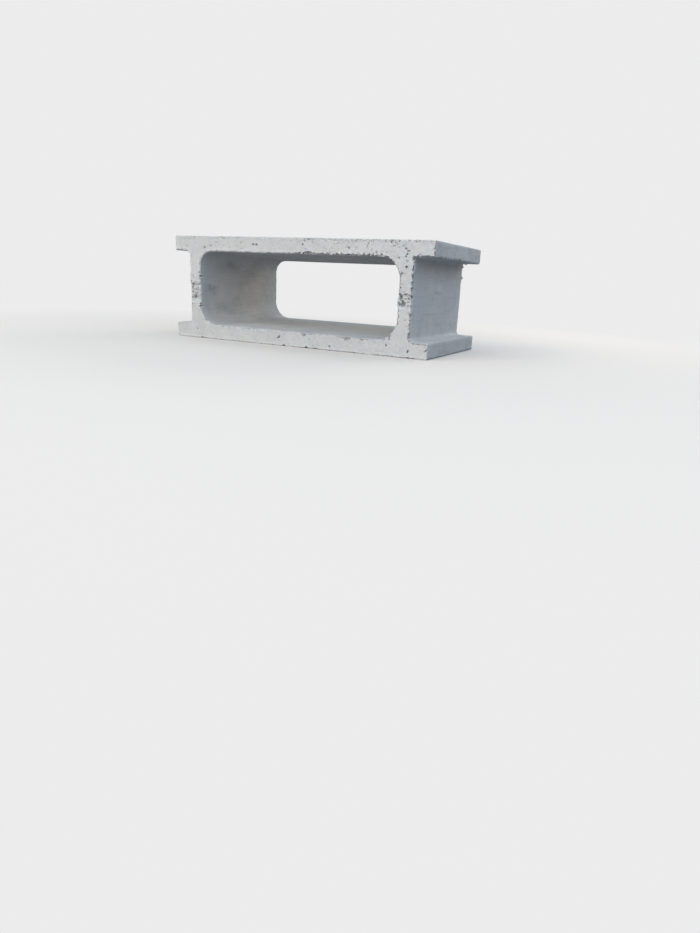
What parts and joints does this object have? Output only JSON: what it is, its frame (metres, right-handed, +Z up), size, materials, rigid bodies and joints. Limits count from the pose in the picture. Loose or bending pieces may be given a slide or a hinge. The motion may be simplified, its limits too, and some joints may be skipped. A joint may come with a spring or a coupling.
{
  "type": "hollow concrete block",
  "caption": "Hollow concrete masonry block with a large rounded through core, thin walls and flanged recessed ends, lying on its side face.",
  "frame": {"origin": "middle of the face that the block lies on, the outer side of the lower face shell", "axes": "+X along the block's 390 mm length, +Y along the core from the tamped face to the pallet face, +Z up through the wall's 140 mm thickness"},
  "size_m": [0.39, 0.19, 0.14],
  "materials": {
    "concrete": "matt cast concrete with a fine sandy grain, small voids and crumbly edges"
  },
  "bodies": {
    "root": {"hollow_block": "concrete"}
  },
  "joints": []
}
